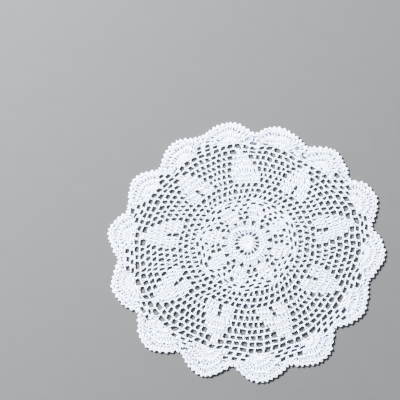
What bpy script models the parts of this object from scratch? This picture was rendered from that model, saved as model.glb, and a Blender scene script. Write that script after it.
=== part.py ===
# Round crocheted cotton placemat, lying flat: one sheet with a scalloped edge.
#
# From the middle outwards the mat has a dense rosette, a ring of round petals, three rounds
# of even net, pointed leaves with wedges of net between them, and a border of dense scallops.
# The sheet is thick where the stitches are dense and thinner in the net.  The net's largest
# gaps are cut through: the ring round the rosette, the last even round and three wedge rounds.
#
# Lengths are in millimetres, and MM turns them into metres.  Angles are in degrees, seen from
# above, counter-clockwise from +X.  The underside lies on z = 0 and the rosette on the origin.

from collections import namedtuple
from math import cos, floor, radians, sin

import bmesh
import bpy
from mathutils import Vector
from mathutils.geometry import delaunay_2d_cdt

MM = 0.001

NET_THICKNESS = 1.5
CLOTH_THICKNESS = 2.1
SLOPE_WIDTH = 0.5

# Nominal radii of the rounds.  The tables below stretch and squeeze them, because the real
# mat was blocked by hand and is a few millimetres out of round.
ROSETTE_RADIUS = 21.0
EYELET_RADIUS = 23.8
PETAL_TIP_RADIUS = 51.8
LEAF_BASE_RADIUS = 71.6
LEAF_TIP_RADIUS = 117.3
NET_EDGE_RADIUS = 117.6

# The radial gaps between the petals: where each runs, and how far out the eyelets and the
# petals' tips reach there.
PetalGap = namedtuple("PetalGap", "angle eyelet_radius tip_radius")
PETAL_GAPS = [
    PetalGap(6.5, 25.5, 54.0),
    PetalGap(49.5, 24.5, 50.5),
    PetalGap(98.0, 22.5, 47.5),
    PetalGap(147.5, 25.0, 51.5),
    PetalGap(188.5, 26.5, 56.0),
    PetalGap(232.0, 25.0, 54.0),
    PetalGap(278.5, 25.5, 52.5),
    PetalGap(324.0, 24.0, 52.5),
]

# The leaves, which lean a few degrees from base to tip.
Leaf = namedtuple("Leaf", "base_angle tip_angle base_radius tip_radius")
LEAVES = [
    Leaf(10.0, 11.5, 75.0, 123.0),
    Leaf(48.0, 52.5, 70.5, 108.0),
    Leaf(91.0, 96.5, 65.5, 107.0),
    Leaf(133.5, 136.0, 68.0, 110.0),
    Leaf(173.5, 177.0, 75.0, 121.5),
    Leaf(208.5, 213.0, 78.0, 128.0),
    Leaf(247.0, 252.0, 71.5, 119.5),
    Leaf(289.5, 295.0, 72.5, 120.0),
    Leaf(331.0, 334.5, 73.0, 119.0),
]

# The valleys of the scalloped edge, each with the scallop that follows it.
Scallop = namedtuple("Scallop", "valley_angle valley_radius peak_radius")
SCALLOPS = [
    Scallop(7.5, 134.0, 148.5),
    Scallop(32.5, 129.0, 138.5),
    Scallop(57.5, 120.5, 130.0),
    Scallop(86.5, 117.5, 132.0),
    Scallop(113.5, 123.5, 134.5),
    Scallop(140.5, 122.5, 141.5),
    Scallop(165.0, 133.0, 151.5),
    Scallop(187.5, 139.5, 155.0),
    Scallop(212.5, 140.0, 157.5),
    Scallop(238.0, 137.5, 152.5),
    Scallop(263.0, 131.0, 152.0),
    Scallop(289.0, 138.5, 151.5),
    Scallop(315.5, 130.0, 146.5),
    Scallop(342.5, 135.5, 149.5),
]
SCALLOP_FULLNESS = 1.6
BUMPS_PER_SCALLOP = 13
BUMP_HEIGHT = 1.3
BORDER_LEAST_WIDTH = 8.0

# The rounds of gaps that are cut: their nominal radius, how many lie between one leaf's
# middle and the next, how far apart they are as a share of that stretch, and their height.
NetRound = namedtuple("NetRound", "radius gaps spacing height")
NET_ROUNDS = [
    NetRound(68.1, 7, 1 / 7, 4.0),
    NetRound(95.4, 7, 0.098, 4.1),
    NetRound(101.9, 8, 0.099, 4.2),
    NetRound(108.2, 9, 0.104, 4.1),
]
GAP_WIDTH_SHARE = 0.78
GAP_FLAT_SHARE = 0.46

EYELETS = 16
EYELET_HEIGHT = 4.2
EYELET_WIDTH = 5.4

# Half the width of a petal in degrees, and half the width of a leaf as a share of the
# stretch from one leaf to the next, at nominal radii from base to tip.
Width = namedtuple("Width", "radius half")
PETAL_WIDTHS = [
    Width(27.5, 8.0),
    Width(31.0, 12.5),
    Width(36.0, 13.5),
    Width(41.0, 11.5),
    Width(45.5, 8.0),
    Width(49.0, 3.5),
]
PETAL_LEAN = 0.13
LEAF_WIDTHS = [
    Width(72.5, 0.215),
    Width(78.5, 0.225),
    Width(85.0, 0.200),
    Width(92.0, 0.148),
    Width(99.0, 0.100),
    Width(105.0, 0.055),
    Width(112.0, 0.012),
]
ROSETTE_SIDES = 24

# Halvings of the search for a place on a curve.
HALVINGS = 40


def along(values, place, turn=0.0):
    """Smooth closed curve through values at whole places; turn is added each time round."""
    count = len(values)
    start = floor(place)
    part = place - start

    def value(index):
        return values[index % count] + turn * (index // count)

    before, here, after, beyond = (value(start + step) for step in (-1, 0, 1, 2))
    bend = 2 * before - 5 * here + 4 * after - beyond
    twist = 3 * (here - after) + beyond - before
    return here + 0.5 * part * (after - before + part * (bend + part * twist))


def place_of(angle, angles):
    """The place at which the curve through the angles reaches an angle."""
    angle = (angle - angles[0]) % 360 + angles[0]
    low, high = 0.0, float(len(angles))
    for _ in range(HALVINGS):
        middle = (low + high) / 2
        if along(angles, middle, 360) < angle:
            low = middle
        else:
            high = middle
    return (low + high) / 2


def column(table, name):
    return [getattr(row, name) for row in table]


def blend(low, high, share):
    return low + (high - low) * share


def leafwise(nominal):
    """How far a nominal radius lies from the leaves' bases to their tips, from 0 to 1."""
    share = (nominal - LEAF_BASE_RADIUS) / (LEAF_TIP_RADIUS - LEAF_BASE_RADIUS)
    return min(max(share, 0.0), 1.0)


def real_radius(nominal, angle):
    """The real radius of a nominal one in the direction of an angle."""
    gap = place_of(angle, column(PETAL_GAPS, "angle"))
    eyelet = along(column(PETAL_GAPS, "eyelet_radius"), gap)
    if nominal <= EYELET_RADIUS:
        return nominal * eyelet / EYELET_RADIUS
    petal_tip = along(column(PETAL_GAPS, "tip_radius"), gap)
    if nominal <= PETAL_TIP_RADIUS:
        share = (nominal - EYELET_RADIUS) / (PETAL_TIP_RADIUS - EYELET_RADIUS)
        return blend(eyelet, petal_tip, share)
    base_place = place_of(angle, column(LEAVES, "base_angle"))
    leaf_base = along(column(LEAVES, "base_radius"), base_place)
    if nominal <= LEAF_BASE_RADIUS:
        share = (nominal - PETAL_TIP_RADIUS) / (LEAF_BASE_RADIUS - PETAL_TIP_RADIUS)
        return blend(petal_tip, leaf_base, share)
    tip_place = place_of(angle, column(LEAVES, "tip_angle"))
    leaf_tip = along(column(LEAVES, "tip_radius"), tip_place)
    share = (nominal - LEAF_BASE_RADIUS) / (LEAF_TIP_RADIUS - LEAF_BASE_RADIUS)
    return blend(leaf_base, leaf_tip, share)


def polar(radius, angle):
    return Vector((radius * cos(radians(angle)), radius * sin(radians(angle))))


def on_mat(nominal, angle):
    return polar(real_radius(nominal, angle), angle)


def leaf_angle(place, nominal):
    """Angle at a place counted in leaves, so that 1.5 is midway between the second and third."""
    base = along(column(LEAVES, "base_angle"), place, 360)
    tip = along(column(LEAVES, "tip_angle"), place, 360)
    return blend(base, tip, leafwise(nominal))


def petal_gap_angle(place):
    return along(column(PETAL_GAPS, "angle"), place, 360)


def scallop_angle(place):
    return along(column(SCALLOPS, "valley_angle"), place, 360)


def net_gap(net_round, place):
    """Six corners of a net gap, drawn in its round so that it takes the round's stretch."""
    half = net_round.spacing * GAP_WIDTH_SHARE / 2
    flat = net_round.spacing * GAP_FLAT_SHARE / 2
    rise = net_round.height / 2
    corners = [(half, 0), (flat, rise), (-flat, rise), (-half, 0), (-flat, -rise), (flat, -rise)]
    loop = []
    for side, up in corners:
        nominal = net_round.radius + up
        loop.append(on_mat(nominal, leaf_angle(place + side, nominal)))
    return loop


def net_gaps():
    gaps = []
    for net_round in NET_ROUNDS:
        for leaf in range(len(LEAVES)):
            for step in range(net_round.gaps):
                from_middle = (step - (net_round.gaps - 1) / 2) * net_round.spacing
                gaps.append(net_gap(net_round, leaf + 0.5 + from_middle))
    return gaps


def eyelets():
    """The gaps round the rosette, each a blunt triangle that points to the centre."""
    wide = EYELET_WIDTH / 2
    deep = EYELET_HEIGHT / 2
    corners = [(0.0, -deep), (wide * 0.75, -deep * 0.1), (wide, deep), (-wide, deep),
               (-wide * 0.75, -deep * 0.1)]
    gaps = []
    for number in range(EYELETS):
        angle = petal_gap_angle(number * len(PETAL_GAPS) / EYELETS)
        outward = polar(1.0, angle)
        across = Vector((-outward.y, outward.x))
        middle = on_mat(EYELET_RADIUS, angle)
        gaps.append([middle - across * side + outward * up for side, up in corners])
    return gaps


def scallop_edge_radius(place):
    """Radius of the scalloped edge without its bumps, at a place counted in valleys."""
    index = floor(place) % len(SCALLOPS)
    share = place - floor(place)
    following = SCALLOPS[(index + 1) % len(SCALLOPS)]
    valley = blend(SCALLOPS[index].valley_radius, following.valley_radius, share)
    height = SCALLOPS[index].peak_radius - valley
    return valley + height * (1 - abs(2 * share - 1) ** SCALLOP_FULLNESS)


def outer_edge():
    loop = []
    for number in range(len(SCALLOPS)):
        for half_bump in range(2 * BUMPS_PER_SCALLOP):
            place = number + half_bump / (2 * BUMPS_PER_SCALLOP)
            bump = BUMP_HEIGHT / 2 if half_bump % 2 else -BUMP_HEIGHT / 2
            loop.append(polar(scallop_edge_radius(place) + bump, scallop_angle(place)))
    return loop


def border_foot():
    """The line where the net ends and the dense border begins, drawn out into each valley."""
    loop = []
    for number, scallop in enumerate(SCALLOPS):
        for share in (0.0, 0.2, 0.5, 0.8):
            angle = scallop_angle(number + share)
            radius = real_radius(NET_EDGE_RADIUS, angle)
            if share == 0.0:
                radius = max(radius, scallop.valley_radius - BORDER_LEAST_WIDTH)
            loop.append(polar(radius, angle))
    return loop


def petal_outline(number):
    loop = []
    for side in (1, -1):
        widths = PETAL_WIDTHS if side == 1 else reversed(PETAL_WIDTHS)
        for width in widths:
            lean = PETAL_LEAN * (width.radius - EYELET_RADIUS)
            angle = petal_gap_angle(number + 0.5) + lean + side * width.half
            loop.append(on_mat(width.radius, angle))
    return loop


def leaf_outline(number):
    loop = []
    for side in (1, -1):
        widths = LEAF_WIDTHS if side == 1 else reversed(LEAF_WIDTHS)
        for width in widths:
            place = number + side * width.half
            loop.append(on_mat(width.radius, leaf_angle(place, width.radius)))
    return loop


def rosette_outline():
    step = 360 / ROSETTE_SIDES
    return [on_mat(ROSETTE_RADIUS, number * step) for number in range(ROSETTE_SIDES)]


def turned_left(loop):
    """The same loop, run counter-clockwise."""
    area = sum(a.x * b.y - b.x * a.y for a, b in zip(loop, loop[1:] + loop[:1]))
    return loop if area > 0 else loop[::-1]


def inset(loop, distance):
    """The loop moved to its left by a distance, which is inwards where it runs left-handed."""
    moved = []
    for index, point in enumerate(loop):
        ahead = (loop[(index + 1) % len(loop)] - point).normalized()
        behind = (point - loop[index - 1]).normalized()
        heading = (ahead + behind).normalized()
        moved.append(point + Vector((-heading.y, heading.x)) * distance)
    return moved


def raised_forms():
    """Pairs of loops, at the foot and at the crest of the slope round each dense form."""
    outlines = [rosette_outline()]
    outlines += [petal_outline(number) for number in range(len(PETAL_GAPS))]
    outlines += [leaf_outline(number) for number in range(len(LEAVES))]
    pairs = []
    for outline in outlines:
        foot = turned_left(outline)
        pairs.append((foot, inset(foot, SLOPE_WIDTH)))
    foot = turned_left(border_foot())
    pairs.append((foot, inset(foot, -SLOPE_WIDTH)))
    return pairs


def inside(point, loop):
    """Whether a point lies inside a loop: a ray from it to +X crosses the loop an odd number of times."""
    crossings = 0
    for here, following in zip(loop, loop[1:] + loop[:1]):
        if (here.y > point.y) != (following.y > point.y):
            share = (point.y - here.y) / (following.y - here.y)
            crossings += point.x < blend(here.x, following.x, share)
    return crossings % 2 == 1


def triangles_between(edge, gaps, inner_loops):
    """Triangles of the flat face inside the edge and outside the gaps, through the loops."""
    loops = [edge] + gaps + inner_loops
    points = [point for loop in loops for point in loop]
    sides = []
    owner = []
    for number, loop in enumerate(loops):
        start = len(owner)
        owner += [number] * len(loop)
        sides += [(start + i, start + (i + 1) % len(loop)) for i in range(len(loop))]
    result = delaunay_2d_cdt(points, sides, [], 0, 1e-5, True)
    source = [originals[0] for originals in result[3]]
    triangles = []
    for face in result[2]:
        corners = [source[index] for index in face]
        owners = {owner[corner] for corner in corners}
        if len(owners) == 1:
            number = owners.pop()
            middle = sum((points[corner] for corner in corners), Vector((0, 0))) / 3
            in_gap = 1 <= number <= len(gaps)
            beyond_edge = number == 0 and not inside(middle, edge)
            if in_gap or beyond_edge:
                continue
        triangles.append(corners)
    return points, triangles


def sheet_mesh():
    edge = outer_edge()
    gaps = eyelets() + net_gaps()
    pairs = raised_forms()
    feet = [foot for foot, crest in pairs]
    crests = [crest for foot, crest in pairs]

    mesh = bmesh.new()
    rim_points, under_faces = triangles_between(edge, gaps, [])
    top_points, top_faces = triangles_between(edge, gaps, feet + crests)
    crest_start = len(top_points) - sum(len(crest) for crest in crests)
    under = [mesh.verts.new((point.x * MM, point.y * MM, 0.0)) for point in rim_points]
    top = []
    for index, point in enumerate(top_points):
        raised = index < len(edge) or index >= crest_start
        height = CLOTH_THICKNESS if raised else NET_THICKNESS
        top.append(mesh.verts.new((point.x * MM, point.y * MM, height * MM)))

    for corners in top_faces:
        mesh.faces.new([top[index] for index in corners])
    for corners in under_faces:
        mesh.faces.new([under[index] for index in reversed(corners)])
    start = 0
    for loop in [edge] + gaps:
        for step in range(len(loop)):
            here = start + step
            following = start + (step + 1) % len(loop)
            wall = [under[here], under[following], top[following], top[here]]
            mesh.faces.new(wall)
        start += len(loop)
    bmesh.ops.recalc_face_normals(mesh, faces=mesh.faces)
    bmesh.ops.triangulate(mesh, faces=mesh.faces)
    return mesh


def cotton():
    material = bpy.data.materials.new("bleached_cotton")
    material.use_nodes = True
    shader = material.node_tree.nodes["Principled BSDF"]
    shader.inputs["Base Color"].default_value = (0.84, 0.84, 0.83, 1.0)
    shader.inputs["Roughness"].default_value = 0.92
    shader.inputs["Metallic"].default_value = 0.0
    return material


def clear_scene():
    for thing in list(bpy.data.objects):
        bpy.data.objects.remove(thing, do_unlink=True)


def make_mat():
    mesh = sheet_mesh()
    data = bpy.data.meshes.new("crocheted_mat")
    mesh.to_mesh(data)
    mesh.free()
    data.materials.append(cotton())
    mat = bpy.data.objects.new("crocheted_mat", data)
    bpy.context.scene.collection.objects.link(mat)


clear_scene()
make_mat()
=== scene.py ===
# Looks of a round crocheted cotton placemat that lies flat on a pale ground.
#
# Every stitch is modelled as yarn: chain links along the ridge of each round, bars of two
# turned strands beside the gaps, and tall stitches of two strands and two wraps in the closed
# cloth.  Lengths are in millimetres until a mesh is built, and angles in degrees,
# counter-clockwise from +X, seen from above.

from collections import namedtuple
from math import pi, radians

import bmesh
import bpy
import numpy as np
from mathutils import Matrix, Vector
from mathutils.geometry import delaunay_2d_cdt


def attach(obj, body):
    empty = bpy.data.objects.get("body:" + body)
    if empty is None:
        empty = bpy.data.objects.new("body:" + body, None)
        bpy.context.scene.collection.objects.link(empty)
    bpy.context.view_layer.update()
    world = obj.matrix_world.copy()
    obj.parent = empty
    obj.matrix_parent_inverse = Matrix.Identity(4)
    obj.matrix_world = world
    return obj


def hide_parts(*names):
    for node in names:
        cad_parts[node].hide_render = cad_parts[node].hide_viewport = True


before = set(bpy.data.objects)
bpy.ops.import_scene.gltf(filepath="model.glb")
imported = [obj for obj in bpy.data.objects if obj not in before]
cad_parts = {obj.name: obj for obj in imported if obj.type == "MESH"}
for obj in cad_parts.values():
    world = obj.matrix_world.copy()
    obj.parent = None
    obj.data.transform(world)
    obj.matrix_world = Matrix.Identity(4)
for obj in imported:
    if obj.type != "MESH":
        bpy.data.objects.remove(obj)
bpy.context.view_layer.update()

MM = 0.001
TINY = 1e-6
NODE = "crocheted_mat"
SEED = 7

# The yarn of links and strands, of wraps and of the bumps outside the edge.
YARN_RADIUS = 0.49
LINK_RADIUS = 0.96 * YARN_RADIUS
WRAP_RADIUS = 0.88 * YARN_RADIUS
BUMP_RADIUS = 0.62
TUBE_SIDES = 5

# Chain links: the spread of their ends and heights, and how wide and low the ridges are.  The
# ridges of rounds that are lower than a full round are narrower.
LINK_SWAY = 0.05
LINK_LIFT = 0.04
LINKS_PER_GAP = 3
NET_RIDGE_WIDTH = 0.35
RIDGE_WIDTH = 0.75
RIDGE_DROP = 0.45
FULL_ROUND_HEIGHT = 6.2

# Bars of two strands turned round each other, which spread at both ends by their flare.  The
# span is the share of the way from foot to head that the strands take.
TWIST_SPAN = (-0.06, 1.04)
TWIST_POINTS = 7
TWIST_RADIUS = 0.62
TWIST_DEPTH = 0.48
TWIST_TURN = 1.15 * pi
TWIST_START = 0.25
TWIST_FLARE = 0.30
NET_FLARE = 1.0
MIDDLE_HEIGHT = 1.06
THINNEST_STRAND = 0.7
WIDEST_WRAP = 0.80
WRAP_REACH = 0.8
WRAP_SHIFT = 0.2
BAR_LEAN = 0.28
BAR_WRAPS = 1
BAR_PITCH = 1.45

# Tall stitches of the closed cloth.  Their strands lie together at the foot, and the holes left
# between two feet have a greatest width.
STITCH_WIDTH = 3.2
STRAND_OVERLAP = 1.12
FOOT_HALF = 0.22
WIDEST_HOLE = 1.3
DENSE_WRAPS = (0.56, 0.70)
WRAP_HALF = 0.8
DENSE_LEAN = 0.22
DENSE_SHIFT = 0.08
DENSE_LIFT = 0.06
UNEVEN_ENDS = 0.5

# Handwork is uneven: the whole mat is drawn out of true by slow and quick waves.
WAVES = 14
WAVE_LENGTHS = (10.0, 34.0)
WAVE_REACH = 0.17

# Nominal radii of the rounds' ridges.  The tables stretch and squeeze them, because the mat
# was blocked by hand and is a few millimetres out of round.
EYELET_RADIUS = 23.8
PETAL_TIP_RADIUS = 51.8
LEAF_BASE_RADIUS = 71.6
LEAF_TIP_RADIUS = 117.3
NET_EDGE_RADIUS = 117.4

PetalGap = namedtuple("PetalGap", "angle eyelet_radius tip_radius")
PETAL_GAPS = [
    PetalGap(6.5, 25.5, 54.0),
    PetalGap(49.5, 24.5, 50.5),
    PetalGap(98.0, 22.5, 47.5),
    PetalGap(147.5, 25.0, 51.5),
    PetalGap(188.5, 26.5, 56.0),
    PetalGap(232.0, 25.0, 54.0),
    PetalGap(278.5, 25.5, 52.5),
    PetalGap(324.0, 24.0, 52.5),
]

Leaf = namedtuple("Leaf", "base_angle tip_angle base_radius tip_radius vein_holes")
LEAVES = [
    Leaf(10.0, 11.5, 75.0, 123.0, True),
    Leaf(48.0, 52.5, 70.5, 108.0, True),
    Leaf(91.0, 96.5, 65.5, 107.0, False),
    Leaf(133.5, 136.0, 68.0, 110.0, True),
    Leaf(173.5, 177.0, 75.0, 121.5, True),
    Leaf(208.5, 213.0, 78.0, 128.0, True),
    Leaf(247.0, 252.0, 71.5, 119.5, True),
    Leaf(289.5, 295.0, 72.5, 120.0, True),
    Leaf(331.0, 334.5, 73.0, 119.0, True),
]

# The valleys of the scalloped edge, each with the scallop that follows it.  Behind a valley
# lie short rows of small gaps: how many are in each row, and how far the row's middle lies to
# the left of the valley.
Scallop = namedtuple("Scallop", "valley_angle valley_radius peak_radius net_rows")
SCALLOPS = [
    Scallop(7.5, 134.0, 148.5, ((4, 0), (3, 0), (3, 3))),
    Scallop(32.5, 129.0, 138.5, ((3, -4), (3, 1))),
    Scallop(57.5, 120.5, 130.0, ()),
    Scallop(86.5, 117.5, 132.0, ()),
    Scallop(113.5, 123.5, 134.5, ((3, 0), (2, 3))),
    Scallop(140.5, 122.5, 141.5, ((2, 4), (1, 4))),
    Scallop(165.0, 133.0, 151.5, ((3, -2), (2, -2), (1, -1))),
    Scallop(187.5, 139.5, 155.0, ((3, 4), (3, 1), (1, 2))),
    Scallop(212.5, 140.0, 157.5, ((2, 1), (2, 5), (1, 5))),
    Scallop(238.0, 137.5, 152.5, ((3, -5), (1, -1), (2, -1))),
    Scallop(263.0, 131.0, 152.0, ((3, 5), (3, 1), (1, 5))),
    Scallop(289.0, 138.5, 151.5, ((4, 0), (4, 5), (3, 5), (1, 7))),
    Scallop(315.5, 130.0, 146.5, ((4, 1), (4, 6), (3, 5), (1, 3))),
    Scallop(342.5, 135.5, 149.5, ((3, -2), (2, -3), (1, -2), (2, -2))),
]

# The edge without its bumps: how far it lies inside the peaks, the share of a scallop that is
# flat at each valley, and how full the scallops are.
PEAK_INSET = 1.6
VALLEY_FLAT = 0.04
SCALLOP_FULLNESS = 1.8

# The small nets behind the valleys.  Sideways places are measured a little above the net's edge.
VALLEY_NET_PITCH = 9.0
VALLEY_NET_RISE = 5.0
VALLEY_NET_FULLNESS = 0.1
VALLEY_BARS = 2
VALLEY_BAR_PITCH = 1.8
VALLEY_BAR_WIDTH = 0.9
SIDES_ABOVE_EDGE = 4.0
EDGE_CLEARANCE = 2.3

# The rounds of openwork: the nominal radii of the ridges below and above, the ring of forms
# that repeats along it, the gaps in each repeat, their spacing as a share of the repeat, the
# place of the first repeat's middle, the stitches in each bar between two gaps and how wide they
# are, and the pieces that hold the net and the dense cloth.
Round = namedtuple("Round", "name low high forms gaps spacing middle bars width net dense")
ROUNDS = [
    Round("petal_1", 26.3, 31.9, "petals", 2, 0.276, 0.0, 1, 1.75, "petal_round", "petal_round"),
    Round("petal_2", 31.9, 38.2, "petals", 2, 0.231, 0.0, 1, 1.75, "petal_round", "petal_round"),
    Round("petal_3", 38.2, 43.6, "petals", 3, 0.233, 0.0, 2, 1.4, "petal_round", "petal_round"),
    Round("petal_4", 43.6, 47.8, "petals", 4, 0.248, 0.0, 2, 1.2, "petal_round", "petal_round"),
    Round("petal_5", 47.8, 52.2, "petals", 3, 0.256, 0.0, 2, 1.55, "petal_round", "petal_round"),
    Round("net_1", 52.2, 58.6, "leaves", 7, 1 / 7, 0.49, 1, 1.6, "inner_net", "inner_net"),
    Round("net_2", 58.6, 65.0, "leaves", 7, 1 / 7, 0.42, 1, 1.65, "inner_net", "inner_net"),
    Round("net_3", 65.0, 71.3, "leaves", 7, 1 / 7, 0.50, 1, 1.65, "inner_net", "inner_net"),
    Round("wedge_1", 71.3, 78.2, "leaves", 4, 0.118, 0.5, 1, 1.45, "wedge_net_inner", "leaves"),
    Round("wedge_2", 78.2, 84.9, "leaves", 5, 0.099, 0.5, 1, 1.6, "wedge_net_inner", "leaves"),
    Round("wedge_3", 84.9, 92.0, "leaves", 6, 0.097, 0.5, 1, 1.1, "wedge_net_inner", "leaves"),
    Round("wedge_4", 92.0, 98.7, "leaves", 7, 0.098, 0.5, 1, 1.1, "wedge_net_inner", "leaves"),
    Round("wedge_5", 98.7, 105.1, "leaves", 8, 0.099, 0.5, 1, 1.15, "wedge_net_outer", "leaves"),
    Round("wedge_6", 105.1, 111.3, "leaves", 9, 0.104, 0.5, 1, 1.2, "wedge_net_outer", "leaves"),
    Round("edge", 111.3, 117.4, "scallops", 6, 1 / 6, 0.42, 1, 1.55, "wedge_net_outer", "leaves"),
]
PETAL_LEAN_START = 28.0
PETAL_LEAN_RATE = 0.17
LEAF_SIDE_GAP = 1.18
VEIN_ROUNDS = ("wedge_1", "wedge_2")
VEIN_REACH = 0.62

# How far the rounds bow outwards past each petal, and past each scallop, at nominal radii.
PETAL_BOWS = ((26.3, 0.0), (31.9, -0.2), (38.2, 0.2), (43.6, 1.1), (47.8, 1.4), (52.2, 0.3),
              (58.6, 0.0))
SCALLOP_BOWS = ((98.7, 0.0), (105.1, 0.2), (111.3, 0.7), (117.4, 1.2), (130.0, 1.2))

# The rounds of the rosette: the radii of the ridges below and above, the places of the feet and
# heads of each repeat's stitches as shares of the repeat, the links of its ridge, and the width
# and wraps of its stitches.  Tall stitches of closed cloth have no width of their own.
RosetteRound = namedtuple("RosetteRound", "low high feet heads links width wraps")
ROSETTE_ROUNDS = [
    RosetteRound(1.2, 7.8, (0.0,), (0.0,), 1, None, None),
    RosetteRound(7.8, 13.1, (0.5,), (0.5,), 2, 0.75, 0),
    RosetteRound(13.1, 19.6, (0.25, 0.75), (0.25, 0.75), 2, None, None),
    RosetteRound(19.6, 26.3, (0.17, 0.5, 0.83), (0.37, 0.5, 0.63), 4, 0.7, 2),
]
ROSETTE_REPEATS = 16
EYE_POINTS = 8
EYE_RADIUS = 1.15
EYE_HEIGHT = 1.1

# Corners of the rosette's gaps: sideways as a share of a repeat, and nominal radius.
EYELET = ((0.0, 20.6), (0.22, 23.2), (0.29, 25.7), (-0.29, 25.7), (-0.22, 23.2))
SLIT = ((0.24, 8.4), (0.28, 12.4), (-0.28, 12.4), (-0.24, 8.4))

# The scallops: rounds of tall stitches fan out from a point above the net, and their ridges run
# beside the edge.  A stitch is wider, the further out it is, and stitches that would be too wide
# at their middle get one more between each two.
EDGE_RIDGE_INSET = 0.9
FAN_ROUNDS = 6
FAN_ROUND_HEIGHT = 6.6
FAN_MIDDLE_ABOVE_NET = 1.0
FAN_MIDDLE_RADIUS = 1.6
FAN_SMALLEST_RADIUS = 2.5
FAN_STEP = 0.4
FAN_STITCH_WIDTH = 2.9
FAN_STITCH_GROWTH = 0.088
FAN_SIDE_MARGIN = 0.4
FAN_HEIGHT_MARGIN = 0.2
FANS_PER_PIECE = 5
EDGE_SAMPLES = 61
WIDEST_STITCH = 5.2
SHORTEST_STITCH = 0.8
RIDGE_REACH = 2 * FAN_STEP
LONGEST_RIDGE_BAR = 7.0

# The edge round.
BUMPS_PER_SCALLOP = 13
LINKS_PER_BUMP = 2
BUMP_FOOT_INSET = 0.4

# The inner sheet: its heights, how far it stays inside the edge, and the rims that it keeps
# round its gaps, beside a bar and below and above.
SHEET_LOW = 0.85
SHEET_HIGH = 1.15
SHEET_EDGE_INSET = 1.3
SHEET_POINTS_PER_SCALLOP = 14
SAME_POINT = 1e-5
GAP_SQUARENESS = 1.12
GAP_RIM = 1.3
GAP_INSET = 0.55
VEIN_GAP_HALF = 0.6
VEIN_GAP_INSET = 1.0
VALLEY_GAP_RIM = 1.0
VALLEY_GAP_INSET = 0.4

# The cotton: plies in its yarn, the heights between which its painted shade fades to full light,
# how far down a face has to look to count as the pale underside, which the painted shade leaves
# out, and the share of its tone that varies by chance.  The yarn's tones go from the deepest
# painted shade to full light, and those of the inner sheet from its pale underside to its dark
# top, which is painted shade.
PLIES = 3
PLY_LENGTH = 2.2
PLY_RELIEF = 0.5
FIBRE_RELIEF = 0.7
SHADE_HEIGHTS = (0.6, 2.0)
UNDERSIDE_FACING = -0.5
CHANCE_SHARE = 0.25
YARN_TONES_AND_PAINTED_SHADE = [(0.0, (0.10, 0.13, 0.24)), (0.45, (0.46, 0.55, 0.80)), (1.0, (0.74, 0.83, 1.0))]
INSIDE_TONES_AND_PAINTED_SHADE = [(0.25, (0.66, 0.75, 0.93)), (0.70, (0.51, 0.59, 0.79)),
                (0.75, (0.036, 0.044, 0.068)), (1.0, (0.014, 0.018, 0.032))]

# The stage, in metres but for the camera's sensor: the picture's frame and the rosette's place
# in it, the floor a little below the mat, and the soft light all round.
FRAME_PIXELS = 400
FRAME_WIDTH = 0.432
ROSETTE_PIXEL = (247.7, 243.0)
CAMERA_HEIGHT = 1.6
CAMERA_REACH = 20.0
SENSOR_WIDTH = 36.0
FLOOR_HALF = 3.0
FLOOR_DEPTH = 0.0002
FLOOR_TONES = [(0.0, (0.037, 0.038, 0.040)), (1.0, (0.042, 0.043, 0.045))]
SKY_TONE = (0.95, 0.97, 1.0)
SKY_STRENGTH = 0.5

rng = np.random.default_rng(SEED)


# Layout: the real place of each nominal radius and place round the mat.

def along(values, place, turn=0.0):
    """Smooth closed curve through values at whole places; turn is added each time round."""
    values = np.asarray(values, float)
    place = np.asarray(place, float)
    count = len(values)
    start = np.floor(place).astype(int)
    part = place - start

    def value(step):
        index = start + step
        return values[index % count] + turn * (index // count)

    before, here, after, beyond = (value(step) for step in (-1, 0, 1, 2))
    bend = 2 * before - 5 * here + 4 * after - beyond
    twist = 3 * (here - after) + beyond - before
    return here + 0.5 * part * (after - before + part * (bend + part * twist))


def place_of(angle, angles):
    """The place at which the curve through the angles reaches an angle."""
    steps_each = 24
    places = np.linspace(0, len(angles), len(angles) * steps_each + 1)
    reached = along(angles, places, 360)
    turned = (np.asarray(angle, float) - reached[0]) % 360 + reached[0]
    return np.interp(turned, reached, places)


def column(table, name):
    return [getattr(row, name) for row in table]


def blend(low, high, share):
    return low + (high - low) * share


def polar(radius, angle):
    angle = np.radians(angle)
    return np.stack([radius * np.cos(angle), radius * np.sin(angle)], axis=-1)


def real_radius(nominal, angle):
    """The real radius of a nominal one in the direction of an angle."""
    nominal = np.asarray(nominal, float) + np.zeros_like(np.asarray(angle, float))
    gap = place_of(angle, column(PETAL_GAPS, "angle"))
    eyelet = along(column(PETAL_GAPS, "eyelet_radius"), gap)
    petal_tip = along(column(PETAL_GAPS, "tip_radius"), gap)
    base_place = place_of(angle, column(LEAVES, "base_angle"))
    leaf_base = along(column(LEAVES, "base_radius"), base_place)
    tip_place = place_of(angle, column(LEAVES, "tip_angle"))
    leaf_tip = along(column(LEAVES, "tip_radius"), tip_place)

    def share(low, high):
        return (nominal - low) / (high - low)

    rosette = nominal * eyelet / EYELET_RADIUS
    petals = blend(eyelet, petal_tip, share(EYELET_RADIUS, PETAL_TIP_RADIUS))
    net = blend(petal_tip, leaf_base, share(PETAL_TIP_RADIUS, LEAF_BASE_RADIUS))
    leaves = blend(leaf_base, leaf_tip, share(LEAF_BASE_RADIUS, LEAF_TIP_RADIUS))
    zones = [nominal <= EYELET_RADIUS, nominal <= PETAL_TIP_RADIUS, nominal <= LEAF_BASE_RADIUS]
    return np.select(zones, [rosette, petals, net], leaves)


def petal_lean(nominal):
    """How far the petals have turned to the left at a nominal radius."""
    return PETAL_LEAN_RATE * np.maximum(np.asarray(nominal, float) - PETAL_LEAN_START, 0.0)


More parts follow.
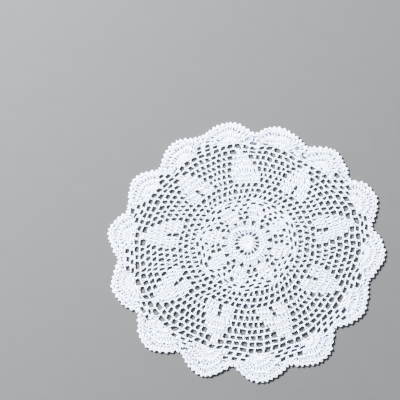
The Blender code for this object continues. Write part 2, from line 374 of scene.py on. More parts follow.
def bowed(nominal, angle):
    """The nominal radius with the bow of the rounds past petals and scallops."""
    nominal = np.asarray(nominal, float) + np.zeros_like(np.asarray(angle, float))
    petal = place_of(angle - petal_lean(nominal), column(PETAL_GAPS, "angle"))
    scallop = place_of(angle, column(SCALLOPS, "valley_angle"))
    petal_bow = np.interp(nominal, *zip(*PETAL_BOWS)) * np.cos(2 * pi * petal)
    scallop_bow = np.interp(nominal, *zip(*SCALLOP_BOWS)) * np.cos(2 * pi * scallop)
    return nominal - petal_bow - scallop_bow


def net_edge(angle):
    """Real radius at which the net ends and the border starts."""
    return real_radius(bowed(NET_EDGE_RADIUS, angle), angle)


def on_mat(nominal, angle):
    """The real point at a nominal radius in the direction of an angle."""
    return polar(real_radius(bowed(nominal, angle), angle), np.asarray(angle, float))


def petal_angle(place, nominal):
    return along(column(PETAL_GAPS, "angle"), place, 360) + petal_lean(nominal)


def leaf_angle(place, nominal):
    share = (np.asarray(nominal, float) - LEAF_BASE_RADIUS) / (LEAF_TIP_RADIUS - LEAF_BASE_RADIUS)
    base = along(column(LEAVES, "base_angle"), place, 360)
    tip = along(column(LEAVES, "tip_angle"), place, 360)
    return blend(base, tip, np.clip(share, 0.0, 1.0))


def scallop_angle(place, nominal=0.0):
    """Angle of a place counted in valleys, which is the same at every radius."""
    return along(column(SCALLOPS, "valley_angle"), place, 360)


FORMS = {
    "petals": (len(PETAL_GAPS), petal_angle),
    "leaves": (len(LEAVES), leaf_angle),
    "scallops": (len(SCALLOPS), scallop_angle),
}


def scallop_edge_radius(place):
    """Radius of the scalloped edge without its bumps, at a place counted in valleys."""
    place = np.asarray(place, float)
    index = np.floor(place).astype(int)
    share = np.clip((place - index - VALLEY_FLAT) / (1 - 2 * VALLEY_FLAT), 0.0, 1.0)
    valleys = np.array(column(SCALLOPS, "valley_radius"))
    peaks = np.array(column(SCALLOPS, "peak_radius")) - PEAK_INSET
    count = len(SCALLOPS)
    valley = blend(valleys[index % count], valleys[(index + 1) % count], share)
    fullness = 1 - np.abs(2 * share - 1) ** SCALLOP_FULLNESS
    return valley + (peaks[index % count] - valley) * fullness


# Yarn: pieces are filled with paths, and each path becomes a closed tube.

class Yarn:
    """The yarn of one piece: groups of paths with the same number of points."""

    def __init__(self):
        self.groups = []

    def add(self, paths, radius):
        paths = np.asarray(paths, float)
        if len(paths):
            self.groups.append((paths, np.broadcast_to(radius, paths.shape[:2])))


pieces = {}


def piece(name):
    return pieces.setdefault(name, Yarn())


def laid(template, start, end, width=1.0):
    """Copies of a template of (across, ahead, height) points, each from its start to its end.

    Across and height are in millimetres, and ahead is a share of the way."""
    run = end - start
    length = np.linalg.norm(run, axis=-1, keepdims=True)
    ahead = run / np.maximum(length, TINY)
    across = np.stack([-ahead[:, 1], ahead[:, 0]], axis=-1)
    template = np.broadcast_to(template, (len(start),) + np.shape(template)[-2:])
    width = np.broadcast_to(width, (len(start),))[:, None, None]
    flat = (start[:, None] + run[:, None] * template[..., 1:2]
            + across[:, None] * template[..., 0:1] * width)
    return np.concatenate([flat, template[..., 2:3]], axis=-1)


# Paths of single strands, as points for laid().

LINK = np.array([
    (0.20, -0.30, 0.75),
    (0.46, 0.20, 1.15),
    (0.42, 0.74, 1.58),
    (0.00, 0.98, 1.76),
    (-0.42, 0.74, 1.58),
    (-0.46, 0.20, 1.15),
    (-0.20, -0.30, 0.75),
])

# One strand of a tall stitch: how far it has opened, ahead, and height.
DENSE_STRAND = np.array([
    (0.00, -0.04, 0.80),
    (0.00, 0.16, 1.25),
    (0.10, 0.37, 1.35),
    (0.75, 0.54, 1.20),
    (1.00, 0.69, 1.15),
    (1.00, 0.86, 1.10),
    (0.70, 1.04, 0.90),
])

WRAP = np.array([
    (-0.98, 0.40, 0.95),
    (-0.52, 0.47, 1.72),
    (0.00, 0.54, 1.98),
    (0.52, 0.61, 1.72),
    (0.98, 0.68, 0.95),
])
WRAP_MIDDLE = WRAP[2, 1]

RIDGE_BAR = np.array([
    (0.00, -0.10, 0.85),
    (0.12, 0.50, 1.20),
    (0.00, 1.10, 0.85),
])

BUMP = np.array([
    (-0.50, 0.22, 0.95),
    (0.60, 0.28, 0.90),
    (1.35, 0.37, 0.95),
    (1.78, 0.50, 1.05),
    (1.35, 0.63, 1.10),
    (0.60, 0.72, 1.20),
    (-0.50, 0.78, 1.25),
])

# The strand that fills a bump's loop.
BUMP_CORE = np.array([
    (-0.50, 0.50, 1.15),
    (1.15, 0.50, 1.05),
])


def copies(template, count):
    return np.broadcast_to(template, (count,) + template.shape).copy()


def chain(yarn, start, end, width=1.0, drop=0.0):
    """A run of chain links, one from each start to its end, lower by the drop."""
    sway = rng.normal(0.0, LINK_SWAY, (len(start), 2))
    lift = rng.normal(0.0, LINK_LIFT, len(start))
    template = copies(LINK, len(start))
    template[..., 2] = np.maximum(template[..., 2] + lift[:, None] - drop, YARN_RADIUS)
    yarn.add(laid(template, start + sway, end + sway, width), LINK_RADIUS)


def twisted_bars(yarn, foot, head, width, wraps, lean=BAR_LEAN, flare=TWIST_FLARE):
    """Stitches of two strands turned round each other from foot to head, with their wraps."""
    count = len(foot)
    if count == 0:
        return
    steps = np.linspace(*TWIST_SPAN, TWIST_POINTS)
    spread = TWIST_RADIUS * (1 + flare * np.abs(2 * steps - 1) ** 3)
    phase = rng.normal(0.0, TWIST_START, count)[:, None]
    foot = foot + rng.normal(0.0, lean, (count, 2))
    head = head + rng.normal(0.0, lean, (count, 2))
    width = np.broadcast_to(width, (count,))
    for side in (0.0, pi):
        turn = phase + side + TWIST_TURN * steps[None, :]
        template = np.stack([
            spread * np.cos(turn),
            np.broadcast_to(steps, turn.shape),
            MIDDLE_HEIGHT + TWIST_DEPTH * np.sin(turn),
        ], axis=-1)
        radius = YARN_RADIUS * np.clip(width, THINNEST_STRAND, 1.0)[:, None]
        yarn.add(laid(template, foot, head, width), radius)
    for wrap in range(wraps):
        template = copies(WRAP, count)
        shift = rng.uniform(-WRAP_SHIFT, WRAP_SHIFT, count)
        place = (wrap + 0.5) / wraps - WRAP_MIDDLE + shift / wraps
        template[..., 1] += WRAP_REACH * place[:, None]
        yarn.add(laid(template, foot, head, np.minimum(width, WIDEST_WRAP)), WRAP_RADIUS)


def dense_stitches(yarn, foot, head, foot_pitch, pitch):
    """Tall stitches that close the cloth, but for a small hole between their feet.

    The two strands of each lie together at its foot, and as far apart above as the pitch asks."""
    count = len(foot)
    if count == 0:
        return
    half = np.maximum(pitch / 2 - YARN_RADIUS * STRAND_OVERLAP, FOOT_HALF)[:, None]
    foot_half = np.maximum(foot_pitch / 2 - YARN_RADIUS - WIDEST_HOLE / 2, FOOT_HALF)[:, None]
    foot = foot + rng.normal(0.0, DENSE_LEAN, (count, 2))
    head = head + rng.normal(0.0, DENSE_LEAN, (count, 2))
    shift = rng.normal(0.0, DENSE_SHIFT, (count, 1))
    opening, ahead, height = DENSE_STRAND.T
    for side in (-1, 1):
        template = np.stack([
            side * blend(foot_half, half, opening),
            ahead + shift * np.sin(pi * np.clip(ahead, 0, 1)),
            height + rng.normal(0.0, DENSE_LIFT, (count, 1)),
        ], axis=-1)
        yarn.add(laid(template, foot, head), YARN_RADIUS)
    for place in DENSE_WRAPS:
        template = copies(WRAP, count)
        template[..., 1] += place - WRAP_MIDDLE + shift
        yarn.add(laid(template, foot, head, half[:, 0] / WRAP_HALF), WRAP_RADIUS)


# Gaps of the inner sheet, which the stitches round them overlap.

gaps = []

# Directions of a gap's eight corners from its middle, with level and upright sides between.
GAP_CORNERS = polar(1.0, np.arange(22.5, 360, 45))


def add_gap(points):
    gaps.append(np.asarray(points, float))


def add_cell_gap(position, place, half_place, low, high, inset):
    """An eight-cornered gap in the inner sheet that fills the cell but for a narrow rim."""
    middle = (low + high) / 2
    rise = (high - low) / 2 - inset
    corners = []
    for corner in GAP_CORNERS:
        side, up = np.sign(corner) * np.minimum(np.abs(corner) * GAP_SQUARENESS, 1.0)
        corners.append(position(place + side * half_place, middle + up * rise))
    add_gap(corners)


# The rounds of petals, net, leaves and edge.

def round_places(row, count):
    """The places of a round's stitches, the widths of the gaps after them, and a pitch.

    All are in repeats.  In closed cloth, the width of the gap is 0 and the pitch is from one
    stitch to the next.  The stitches there are an even number, so one stands on a leaf's vein."""
    open_span = row.gaps * row.spacing
    closed = 1 - open_span
    closed_mm = closed * 2 * pi * (row.low + row.high) / 2 / count
    stitches = 2 * int(round(closed_mm / STITCH_WIDTH / 2))
    gap_widths = np.ones(row.gaps)
    if row.name.startswith("wedge"):
        gap_widths[[0, -1]] = LEAF_SIDE_GAP
    gap_widths *= open_span / gap_widths.sum()
    places = []
    widths = []
    for number in range(count):
        first = number + row.middle - open_span / 2
        places.extend(first + np.cumsum(gap_widths) - gap_widths)
        widths.extend(gap_widths)
        places.extend(first + open_span + step * closed / stitches for step in range(stitches))
        widths.extend([0.0] * stitches)
    return np.array(places), np.array(widths), closed / max(stitches, 1)


def work_round(row):
    """One round: its gaps in the inner sheet, then its bars, closed cloth and upper ridge."""
    count, angle_of = FORMS[row.forms]

    def position(place, nominal):
        return on_mat(nominal, angle_of(place, nominal))

    places, widths, pitch = round_places(row, count)
    following = np.append(places[1:], places[0] + count)
    net = widths > 0
    dense = ~net
    for start, width in zip(places[net], widths[net]):
        width_mm = width * 2 * pi * (row.low + row.high) / 2 / count
        rim = GAP_RIM + (row.bars - 1) * BAR_PITCH
        half = width / 2 * (1 - rim / width_mm)
        add_cell_gap(position, start + width / 2, half, row.low, row.high, GAP_INSET)
    stitched = dense.copy()
    if row.name in VEIN_ROUNDS:
        stitched &= open_veins(row, places, position, pitch)

    for bar in range(row.bars):
        aside = (bar - (row.bars - 1) / 2) * BAR_PITCH * row.width / (2 * pi * row.low / count)
        twisted_bars(piece(row.net), position(places[net] + aside, row.low),
                     position(places[net] + aside, row.high), row.width, BAR_WRAPS,
                     flare=NET_FLARE)
    work_closed_cloth(row, places[stitched], following[stitched], position)
    work_ridge(row.net, row, places[net], following[net], position,
               LINKS_PER_GAP, NET_RIDGE_WIDTH, 0.0)
    work_ridge(row.dense, row, places[dense], following[dense], position,
               1, RIDGE_WIDTH, RIDGE_DROP)


def open_veins(row, places, position, pitch):
    """Leave out the stitch on each leaf's vein, and open the inner sheet there."""
    keep = np.ones(len(places), bool)
    for number, leaf in enumerate(LEAVES):
        if leaf.vein_holes:
            away = np.abs((places - number + len(LEAVES) / 2) % len(LEAVES) - len(LEAVES) / 2)
            keep &= away > VEIN_REACH * pitch
            add_cell_gap(position, number, VEIN_GAP_HALF * pitch, row.low, row.high,
                         VEIN_GAP_INSET)
    return keep


def work_closed_cloth(row, places, following, position):
    """Tall stitches side by side, with feet and heads a little above or below the ridges."""
    feet = position(places, row.low)
    heads = position(places, row.high)
    pitch = np.linalg.norm(position(following, row.high) - heads, axis=1)
    ahead = (heads - feet) / np.linalg.norm(heads - feet, axis=1, keepdims=True)
    shifts = rng.uniform(-UNEVEN_ENDS, UNEVEN_ENDS, (2, len(places), 1))
    dense_stitches(piece(row.dense), feet + ahead * shifts[0], heads + ahead * shifts[1],
                   pitch * row.low / row.high, pitch)


def work_ridge(owner, row, starts, ends, position, links, width, drop):
    """Chain links along the upper ridge of a round, some from each start to its end."""
    fullness = min((row.high - row.low) / FULL_ROUND_HEIGHT, 1.0)
    for link in range(links):
        begin = blend(starts, ends, link / links)
        finish = blend(starts, ends, (link + 1) / links)
        chain(piece(owner), position(begin, row.high), position(finish, row.high),
              width * fullness, drop)


# The rosette: a dense disc, a ring of slits, a dense band and the eyelets round it.

def rosette_point(repeat, nominal):
    """Points of the rosette at places that are counted in its own repeats."""
    unit = len(PETAL_GAPS) / ROSETTE_REPEATS
    return on_mat(nominal, petal_angle(repeat * unit, 0.0))


def work_rosette_round(row):
    """One round of the rosette: closed cloth where the table gives no width, or else bars."""
    yarn = piece("rosette")
    numbers = np.arange(ROSETTE_REPEATS)[:, None]
    feet = rosette_point((numbers + np.array(row.feet)).ravel(), row.low)
    heads = rosette_point((numbers + np.array(row.heads)).ravel(), row.high)
    if row.width is None:
        turn = 2 * pi / len(heads)
        dense_stitches(yarn, feet, heads, np.full(len(heads), turn * row.low),
                       np.full(len(heads), turn * row.high))
    else:
        twisted_bars(yarn, feet, heads, row.width, row.wraps, DENSE_LEAN)
    ticks = np.arange(ROSETTE_REPEATS * row.links + 1) / row.links
    ridge = rosette_point(ticks, row.high)
    chain(yarn, ridge[:-1], ridge[1:], RIDGE_WIDTH, RIDGE_DROP)


def work_rosette():
    """The rosette's rounds, the small eye in its middle, and its gaps in the inner sheet."""
    for row in ROSETTE_ROUNDS:
        work_rosette_round(row)
    turn = np.arange(EYE_POINTS + 1) % EYE_POINTS / EYE_POINTS * 2 * pi
    height = np.full(len(turn), EYE_HEIGHT)
    eye = np.stack([EYE_RADIUS * np.cos(turn), EYE_RADIUS * np.sin(turn), height], axis=-1)
    piece("rosette").add([eye], YARN_RADIUS)
    for number in range(ROSETTE_REPEATS):
        for corners in (EYELET, SLIT):
            add_gap([rosette_point(number + side, radius) for side, radius in corners])


# The scalloped border: small nets behind the valleys, fans of stitches, and the edge round.

def border_place(points):
    """Angle, radius, place in valleys and height above the net of points in the border."""
    angle = np.degrees(np.arctan2(points[..., 1], points[..., 0]))
    radius = np.linalg.norm(points, axis=-1)
    place = place_of(angle, column(SCALLOPS, "valley_angle"))
    return angle, radius, place, radius - net_edge(angle)


def side_radius(number):
    """The radius at which the sideways distances from a valley are measured."""
    return float(net_edge(SCALLOPS[number].valley_angle)) + SIDES_ABOVE_EDGE


def valley_point(number, side, above):
    """A point beside a valley: side is in millimetres to its left, seen from the middle."""
    turn = np.degrees(np.asarray(side, float) / side_radius(number))
    angle = SCALLOPS[number].valley_angle + turn
    return polar(net_edge(angle) + above, angle)


def clear_of_edge(points):
    _, radius, place, _ = border_place(points)
    return radius < scallop_edge_radius(place) - EDGE_CLEARANCE


def valley_cells(number):
    """Side and height ranges of the gaps behind a valley that clear the edge round."""
    cells = []
    for row, (count, middle) in enumerate(SCALLOPS[number].net_rows):
        low = row * VALLEY_NET_RISE
        high = low + VALLEY_NET_RISE
        for step in range(count):
            right = middle + (step - count / 2) * VALLEY_NET_PITCH
            left = right + VALLEY_NET_PITCH
            corners = valley_point(number, [right, left, left, right], [low, low, high, high])
            if clear_of_edge(corners).all():
                cells.append((right, left, low, high))
    return cells


def work_valley_net(number):
    """Bars and ridges round each gap of the small net behind a valley."""
    yarn = piece("wedge_net_outer")

    def position(side, above):
        return valley_point(number, side, above)

    for right, left, low, high in valley_cells(number):
        for side in (right, left):
            for bar in range(VALLEY_BARS):
                beside = side + (bar - (VALLEY_BARS - 1) / 2) * VALLEY_BAR_PITCH
                twisted_bars(yarn, position([beside], low), position([beside], high),
                             VALLEY_BAR_WIDTH, 0)
        ridge = position(np.linspace(right, left, LINKS_PER_GAP + 1), high)
        chain(yarn, ridge[:-1], ridge[1:], VALLEY_NET_FULLNESS)
        half_gap = (VALLEY_NET_PITCH - VALLEY_GAP_RIM - VALLEY_BARS * VALLEY_BAR_PITCH) / 2
        add_cell_gap(position, (right + left) / 2, half_gap, low, high, VALLEY_GAP_INSET)


def in_fan(points, number):
    """Whether points lie in one scallop's closed cloth, clear of the nets."""
    angle, radius, place, above = border_place(points)
    count = len(SCALLOPS)
    good = np.floor(place).astype(int) % count == number
    good &= (above > FAN_HEIGHT_MARGIN) & (radius < scallop_edge_radius(place))
    for valley in (number, (number + 1) % count):
        turned = (angle - SCALLOPS[valley].valley_angle + 180) % 360 - 180
        side = radians(1) * turned * side_radius(valley)
        for right, left, low, high in valley_cells(valley):
            beside = (side > right - FAN_SIDE_MARGIN) & (side < left + FAN_SIDE_MARGIN)
            level = (above > low - FAN_HEIGHT_MARGIN) & (above < high + FAN_HEIGHT_MARGIN)
            good &= ~(beside & level)
    return good


def runs_of(good):
    """The row, the first and the last place of every unbroken run of places."""
    change = np.diff(np.pad(good, ((0, 0), (1, 1))).astype(int), axis=1)
    rows, first = np.nonzero(change == 1)
    last = np.nonzero(change == -1)[1] - 1
    return rows, first, last


def work_fan(number):
    """Rounds of stitches about a point in the scallop, cut short where its cloth ends."""
    yarn = piece(f"scallops_{1 + number // FANS_PER_PIECE}")
    middle_angle = float(scallop_angle(number + 0.5))
    middle = polar(float(net_edge(middle_angle)) + FAN_MIDDLE_ABOVE_NET, middle_angle)
    edge_places = number + np.linspace(0, 1, EDGE_SAMPLES)
    edge = polar(scallop_edge_radius(edge_places), scallop_angle(edge_places))
    reach = np.linalg.norm(edge - middle, axis=1).max()
    levels = np.arange(FAN_MIDDLE_RADIUS, reach, FAN_STEP)
    for round_number in range(FAN_ROUNDS):
        ridge = EDGE_RIDGE_INSET + round_number * FAN_ROUND_HEIGHT
        outward = max(reach - ridge - FAN_ROUND_HEIGHT / 2, FAN_SMALLEST_RADIUS)
        count = int(round(2 * pi * outward / (FAN_STITCH_WIDTH + FAN_STITCH_GROWTH * outward)))
        turn = 360 / count

        # Rays at every half stitch; those in between are kept where the stitches are too wide.
        half_turns = np.arange(2 * count)
        facing = middle_angle + (half_turns / 2 + 0.5 * (round_number % 2)) * turn
        samples = middle + polar(levels[None, :], facing[:, None])
        depth = np.linalg.norm(samples[:, :, None] - edge, axis=-1).min(axis=-1)
        good = in_fan(samples, number) & (depth > ridge) & (depth < ridge + FAN_ROUND_HEIGHT)
        rows, first, last = runs_of(good)
        wide = (levels[first] + levels[last]) / 2 * radians(turn) > WIDEST_STITCH
        kept = (last - first) * FAN_STEP > SHORTEST_STITCH
        kept &= wide | (rows % 2 == 0)
        rows, first, last, wide = rows[kept], first[kept], last[kept], wide[kept]

        share = np.where(wide, 0.5, 1.0)
        shifts = rng.uniform(-UNEVEN_ENDS, UNEVEN_ENDS, (2, len(rows)))
        foot = middle + polar(levels[first] + shifts[0], facing[rows])
        head = middle + polar(levels[last] + shifts[1], facing[rows])
        dense_stitches(yarn, foot, head, levels[first] * radians(turn) * share,
                       levels[last] * radians(turn) * share)
        if round_number > 0:
            at_ridge = depth[rows, last] < ridge + RIDGE_REACH
            line = (middle + polar(levels[last], facing[rows]))[at_ridge]
            beyond = np.roll(line, -1, axis=0)
            near = np.linalg.norm(beyond - line, axis=1) < LONGEST_RIDGE_BAR
            yarn.add(laid(RIDGE_BAR, line[near], beyond[near]), YARN_RADIUS)


def edge_line(number, count, inset):
    """Points along one scallop's edge, inside it by the inset."""
    ticks = number + np.arange(count + 1) / count
    return polar(scallop_edge_radius(ticks) - inset, scallop_angle(ticks))


def work_edge(number):
    """The ridge along the scalloped edge, and the row of small bumps outside it."""
    yarn = piece("edge_round")
    ridge = edge_line(number, BUMPS_PER_SCALLOP * LINKS_PER_BUMP, EDGE_RIDGE_INSET)
    chain(yarn, ridge[:-1], ridge[1:])
    feet = edge_line(number, BUMPS_PER_SCALLOP, BUMP_FOOT_INSET)
    for template in (BUMP, BUMP_CORE):
        yarn.add(laid(template, feet[1:], feet[:-1]), BUMP_RADIUS)


# Waves that draw the whole mat out of true.

wave_turns = rng.uniform(0, 2 * pi, WAVES)
wave_lengths = np.geomspace(*WAVE_LENGTHS, WAVES)
wave_starts = rng.uniform(0, 2 * pi, (WAVES, 2))


def uneven(points):
    """Points of the mat drawn out of true; heights stay."""
    points = np.array(points, float)
    flat = points[..., :2].copy()
    for turn, length, starts in zip(wave_turns, wave_lengths, wave_starts):
        phase = (flat[..., 0] * np.cos(turn) + flat[..., 1] * np.sin(turn)) * 2 * pi / length
        points[..., 0] += WAVE_REACH * np.sin(phase + starts[0])
        points[..., 1] += WAVE_REACH * np.sin(phase + starts[1])
    return points


# The inner sheet: the yarn deeper down, which closes the cloth between the stitches, with painted
# shade on its top.

def inside(point, loop):
    """Whether a point lies inside a closed loop of points."""
    crossings = 0
    for here, following in zip(loop, loop[1:] + loop[:1]):
        if (here[1] > point[1]) != (following[1] > point[1]):
            share = (point[1] - here[1]) / (following[1] - here[1])
            crossings += point[0] < blend(here[0], following[0], share)
    return crossings % 2 == 1


def sheet_plan():
    """Points, sides and triangles of the inner sheet, seen from above.

    A triangle with all its corners on one gap lies in that gap."""
    each = SHEET_POINTS_PER_SCALLOP
    places = np.arange(len(SCALLOPS) * each) / each
    edge = polar(scallop_edge_radius(places) - SHEET_EDGE_INSET, scallop_angle(places))
    loops = [[Vector(uneven(point)) for point in loop] for loop in [edge] + gaps]
    points = [point for loop in loops for point in loop]
    sides = []
    owner = []
    for number, loop in enumerate(loops):
        start = len(owner)
        owner += [number] * len(loop)
        sides += [(start + i, start + (i + 1) % len(loop)) for i in range(len(loop))]
    faces, originals = delaunay_2d_cdt(points, sides, [], 0, SAME_POINT, True)[2:4]
    source = [numbers[0] if numbers else None for numbers in originals]
    if None in source or len(source) != len(points):
        raise SystemExit("two gaps of the inner sheet touch")
    triangles = []
    for face in faces:
        corners = [source[index] for index in face]
        owners = {owner[corner] for corner in corners}
        middle = sum((points[corner] for corner in corners), Vector((0, 0))) / 3
        if len(owners) > 1 or (owners == {0} and inside(middle, loops[0])):
            triangles.append(corners)
    return points, sides, triangles


def sheet_mesh(name):
    """The inner sheet as a thin closed solid, in metres."""
    points, sides, triangles = sheet_plan()
    mesh = bmesh.new()
    under = [mesh.verts.new((p.x * MM, p.y * MM, SHEET_LOW * MM)) for p in points]
    top = [mesh.verts.new((p.x * MM, p.y * MM, SHEET_HIGH * MM)) for p in points]
    for corners in triangles:
        mesh.faces.new([top[index] for index in corners])
        mesh.faces.new([under[index] for index in reversed(corners)])
    for here, following in sides:
        mesh.faces.new([under[here], under[following], top[following], top[here]])
    bmesh.ops.recalc_face_normals(mesh, faces=mesh.faces)
    data = bpy.data.meshes.new(name)
    mesh.to_mesh(data)
    mesh.free()
    return data


# Tubes: every path becomes a closed tube with flat ends and a map of turn and length.

def tube_arrays(paths, radii):
    """Points, side quads, end faces and the quads' map for equal-length paths."""
    count, steps, _ = paths.shape
    ahead = np.gradient(paths, axis=1)
    ahead /= np.linalg.norm(ahead, axis=2, keepdims=True)
    up = np.array([0.0, 0.0, 1.0])
    across = np.cross(ahead, up)
    across /= np.maximum(np.linalg.norm(across, axis=2, keepdims=True), TINY)
    normal = np.cross(across, ahead)
    turns = np.arange(TUBE_SIDES) / TUBE_SIDES * 2 * pi
    ring = (across[:, :, None] * np.cos(turns)[None, None, :, None]
            + normal[:, :, None] * np.sin(turns)[None, None, :, None])
    points = paths[:, :, None] + ring * radii[:, :, None, None]
    index = np.arange(count * steps * TUBE_SIDES).reshape(count, steps, TUBE_SIDES)
    beside = np.roll(index, -1, axis=2)
    quads = np.stack([index[:, :-1], index[:, 1:], beside[:, 1:], beside[:, :-1]], axis=-1)
    ends = np.concatenate([index[:, 0], index[:, -1, ::-1]])
    stretch = np.linalg.norm(np.diff(paths, axis=1), axis=2)
    length = np.concatenate([np.zeros((count, 1)), np.cumsum(stretch, axis=1)], axis=1)
    around = np.arange(TUBE_SIDES) / TUBE_SIDES
    near = np.broadcast_to(around, (count, steps - 1, TUBE_SIDES))
    far = near + 1 / TUBE_SIDES
    here = np.broadcast_to(length[:, :-1, None], near.shape)
    there = np.broadcast_to(length[:, 1:, None], near.shape)
    chart = np.stack([np.stack([near, here], -1), np.stack([near, there], -1),
                      np.stack([far, there], -1), np.stack([far, here], -1)], axis=-2)
    return points.reshape(-1, 3), quads.reshape(-1, 4), ends, chart.reshape(-1, 2)


def yarn_mesh(name, yarn):
    """All the tubes of one piece, in metres, with smooth sides and flat ends."""
    points, quads, ends, charts = [], [], [], []
    start = 0
    for paths, radii in yarn.groups:
        some, faces, caps, chart = tube_arrays(paths, radii)
        points.append(some)
        quads.append(faces + start)
        ends.append(caps + start)
        charts.append(chart)
        start += len(some)
    points = uneven(np.concatenate(points)) * MM
    quads = np.concatenate(quads)
    ends = np.concatenate(ends)
    chart = np.concatenate(charts)
    corners = np.concatenate([quads.ravel(), ends.ravel()])
    starts = np.concatenate([np.arange(len(quads)) * 4,
                             len(quads) * 4 + np.arange(len(ends)) * TUBE_SIDES])
    data = bpy.data.meshes.new(name)
    data.vertices.add(len(points))
    data.vertices.foreach_set("co", points.ravel())
    data.loops.add(len(corners))
    data.loops.foreach_set("vertex_index", corners.astype(np.int32))
    data.polygons.add(len(starts))
    data.polygons.foreach_set("loop_start", starts.astype(np.int32))
    data.polygons.foreach_set("use_smooth", np.arange(len(starts)) < len(quads))
    data.update(calc_edges=True)
    layer = data.uv_layers.new(name="yarn")
    flat = np.zeros((len(corners), 2))
    flat[:len(chart)] = chart
    layer.data.foreach_set("uv", flat.ravel())
    data.validate()
    return data


# Shader maths: a socket that takes part in expressions, and a tree that adds nodes.

class Value:
    """One socket of a material, so that an expression on it adds its Math nodes."""

    def __init__(self, tree, socket):
        self.tree = tree
        self.socket = socket

    def maths(self, operation, first, second):
        return self.tree.node("ShaderNodeMath", {"operation": operation}, {0: first, 1: second})

    def __add__(self, other):
        return self.maths("ADD", self, other)

    def __sub__(self, other):
        return self.maths("SUBTRACT", self, other)

    def __rsub__(self, other):
        return self.maths("SUBTRACT", other, self)

    def __mul__(self, other):
        return self.maths("MULTIPLY", self, other)

    __radd__ = __add__
    __rmul__ = __mul__


class Finish:
    """A material under construction."""

    def __init__(self, name):
        self.material = bpy.data.materials.new(name)
        self.material.use_nodes = True
        self.nodes = self.material.node_tree.nodes
        self.links = self.material.node_tree.links
        self.shader = self.nodes["Principled BSDF"]

    def node(self, kind, settings=None, inputs=None, output=0):
        """Add a node: its settings first, then the values or links of its sockets."""
        made = self.nodes.new(kind)
        for name, value in (settings or {}).items():
            if name == "stops":
                self.set_stops(made, value)
            else:
                setattr(made, name, value)
        for name, value in (inputs or {}).items():
            self.feed(made.inputs[name], value)
        return Value(self, made.outputs[output])

    def set_stops(self, ramp, stops):
        elements = ramp.color_ramp.elements
        while len(elements) < len(stops):
            elements.new(1.0)
        for element, (place, colour) in zip(elements, stops):
            element.position = place
            element.color = (*colour, 1.0)

    def feed(self, socket, value):
        if isinstance(value, Value):
            self.links.new(value.socket, socket)
        else:
            socket.default_value = value

    def set(self, name, value):
        self.feed(self.shader.inputs[name], value)

    def place(self):
        """The surface's place in the object's own space, in metres."""
        return self.node("ShaderNodeTexCoord", output=3)

    def facing(self):
        """The way the surface faces, in the object's own space."""
        return self.node("ShaderNodeTexCoord", output=1)

    def part(self, vector, axis):
        """One part of a vector: axis 0, 1 or 2."""
        return self.node("ShaderNodeSeparateXYZ", {}, {0: vector}, output=axis)

    def larger(self, first, second):
        return self.node("ShaderNodeMath", {"operation": "MAXIMUM"}, {0: first, 1: second})

    def sine(self, value):
        return self.node("ShaderNodeMath", {"operation": "SINE"}, {0: value})

    def share_of(self, value, low, high, kind="LINEAR"):
        """How far a value has gone from low to high, from 0 to 1."""
        return self.node("ShaderNodeMapRange", {"interpolation_type": kind},
                         {"Value": value, "From Min": low, "From Max": high})

    def noise(self, vector, scale, detail, roughness=0.5):
        return self.node("ShaderNodeTexNoise", {}, {"Vector": vector, "Scale": scale,
                                                    "Detail": detail, "Roughness": roughness})

    def ramp(self, tone, stops):
        return self.node("ShaderNodeValToRGB", {"stops": stops}, {"Fac": tone})

    def bump(self, height, strength, distance):
        return self.node("ShaderNodeBump", {},
                         {"Height": height, "Strength": strength, "Distance": distance})


def cotton_yarn_and_painted_shade():
    """Bleached cotton: a cool white, with painted shade that greys it lower down between the
    stitches.
    """
    finish = Finish("bleached_yarn_and_painted_shade")
    place = finish.place()
    # Painted shade: the yarn darkens lower down, where shade falls between the stitches, but
    # faces that look down keep the pale underside.
    lowest, highest = SHADE_HEIGHTS
    depth = finish.share_of(finish.part(place, 2), lowest * MM, highest * MM, "SMOOTHSTEP")
    beneath = finish.share_of(finish.part(finish.facing(), 2), 0.0, UNDERSIDE_FACING)
    clouds = finish.noise(place, scale=90.0, detail=2.0)
    tone = finish.larger(depth, beneath) * (1 - CHANCE_SHARE) + clouds * CHANCE_SHARE
    finish.set("Base Color", finish.ramp(tone, YARN_TONES_AND_PAINTED_SHADE))
    finish.set("Roughness", 0.86)
    finish.set("Sheen Weight", 0.25)
    finish.set("Sheen Roughness", 0.5)
    finish.set("Specular IOR Level", 0.25)

    chart = finish.node("ShaderNodeUVMap", {"uv_map": "yarn"})
    turn = finish.part(chart, 0)
    length = finish.part(chart, 1)
    plies = finish.sine(turn * (2 * pi * PLIES) + length * (2 * pi / PLY_LENGTH))
    fibres = finish.noise(place, scale=2600.0, detail=3.0, roughness=0.6)
    relief = plies * PLY_RELIEF + fibres * FIBRE_RELIEF
    finish.set("Normal", finish.bump(relief, strength=0.5, distance=0.14 * MM))
    return finish.material


def inner_cotton_and_painted_shade():
    """The sheet between the stitches: cotton underneath, and painted shade on top, as dark as the
    shade between the stitches.
    """
    finish = Finish("cotton_inside_and_painted_shade")
    place = finish.place()
    # Painted shade: the sheet goes from pale cotton underneath to near black on top, where it
    # shows between the stitches.
    rise = finish.share_of(finish.part(place, 2), SHEET_LOW * MM, SHEET_HIGH * MM)
    fibres = finish.noise(place, scale=1400.0, detail=4.0, roughness=0.6)
    tone = rise * (1 - CHANCE_SHARE) + fibres * CHANCE_SHARE
    finish.set("Base Color", finish.ramp(tone, INSIDE_TONES_AND_PAINTED_SHADE))
    finish.set("Roughness", 0.95)
    finish.set("Specular IOR Level", 0.0)
    finish.set("Normal", finish.bump(fibres, strength=0.6, distance=0.3 * MM))
    return finish.material


def pale_floor():
    finish = Finish("pale_floor")
    grain = finish.noise(finish.place(), scale=60.0, detail=4.0, roughness=0.6)
    finish.set("Base Color", finish.ramp(grain, FLOOR_TONES))
    finish.set("Roughness", 0.9)
    finish.set("Specular IOR Level", 0.0)
    return finish.material


# Floor, lights and camera.

def add_object(name, data):
    thing = bpy.data.objects.new(name, data)
    bpy.context.scene.collection.objects.link(thing)
    return thing


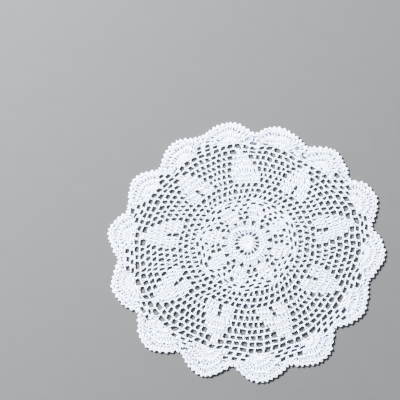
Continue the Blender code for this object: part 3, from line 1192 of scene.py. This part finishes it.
def make_floor():
    mesh = bmesh.new()
    bmesh.ops.create_grid(mesh, x_segments=1, y_segments=1, size=FLOOR_HALF)
    data = bpy.data.meshes.new("floor")
    mesh.to_mesh(data)
    mesh.free()
    floor = add_object("floor", data)
    floor.location.z = -FLOOR_DEPTH
    data.materials.append(pale_floor())


def area_light(name, place, size, power):
    """A square light that shines at the middle of the mat."""
    light = bpy.data.lights.new(name, "AREA")
    light.shape = "SQUARE"
    light.size = size
    light.energy = power
    thing = add_object(name, light)
    thing.location = place
    thing.rotation_euler = (-Vector(place)).to_track_quat("-Z", "Y").to_euler()


def make_lights():
    area_light("key_light", place=(-1.25, 1.25, 0.95), size=0.3, power=960.0)
    area_light("top_light", place=(0.2, -0.1, 2.2), size=1.6, power=50.0)
    world = bpy.data.worlds.new("soft_studio")
    world.use_nodes = True
    background = world.node_tree.nodes["Background"]
    background.inputs["Color"].default_value = (*SKY_TONE, 1.0)
    background.inputs["Strength"].default_value = SKY_STRENGTH
    bpy.context.scene.world = world


def make_camera():
    """Straight above the mat, which lies right of and below the middle of the frame."""
    pixel = FRAME_WIDTH / FRAME_PIXELS
    aside = (ROSETTE_PIXEL[0] - FRAME_PIXELS / 2) * pixel
    below = (ROSETTE_PIXEL[1] - FRAME_PIXELS / 2) * pixel
    camera = bpy.data.cameras.new("camera")
    camera.sensor_width = SENSOR_WIDTH
    camera.lens = SENSOR_WIDTH * CAMERA_HEIGHT / FRAME_WIDTH
    camera.clip_end = CAMERA_REACH
    thing = add_object("camera", camera)
    thing.location = (-aside, below, CAMERA_HEIGHT)
    bpy.context.scene.camera = thing


# Work the mat from the middle outwards, attach its pieces to the root body, hide the CAD part,
# and set up the floor, lights and camera.

work_rosette()
for row in ROUNDS:
    work_round(row)
for number in range(len(SCALLOPS)):
    work_valley_net(number)
    work_fan(number)
    work_edge(number)

cotton = cotton_yarn_and_painted_shade()
inner_sheet = add_object("inner_sheet", sheet_mesh("inner_sheet"))
inner_sheet.data.materials.append(inner_cotton_and_painted_shade())
worked = []
for name in sorted(pieces):
    thing = add_object(name, yarn_mesh(name, pieces[name]))
    thing.data.materials.append(cotton)
    worked.append(thing)

for thing in [inner_sheet] + worked:
    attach(thing, "root")
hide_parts(NODE)

make_floor()
make_lights()
make_camera()
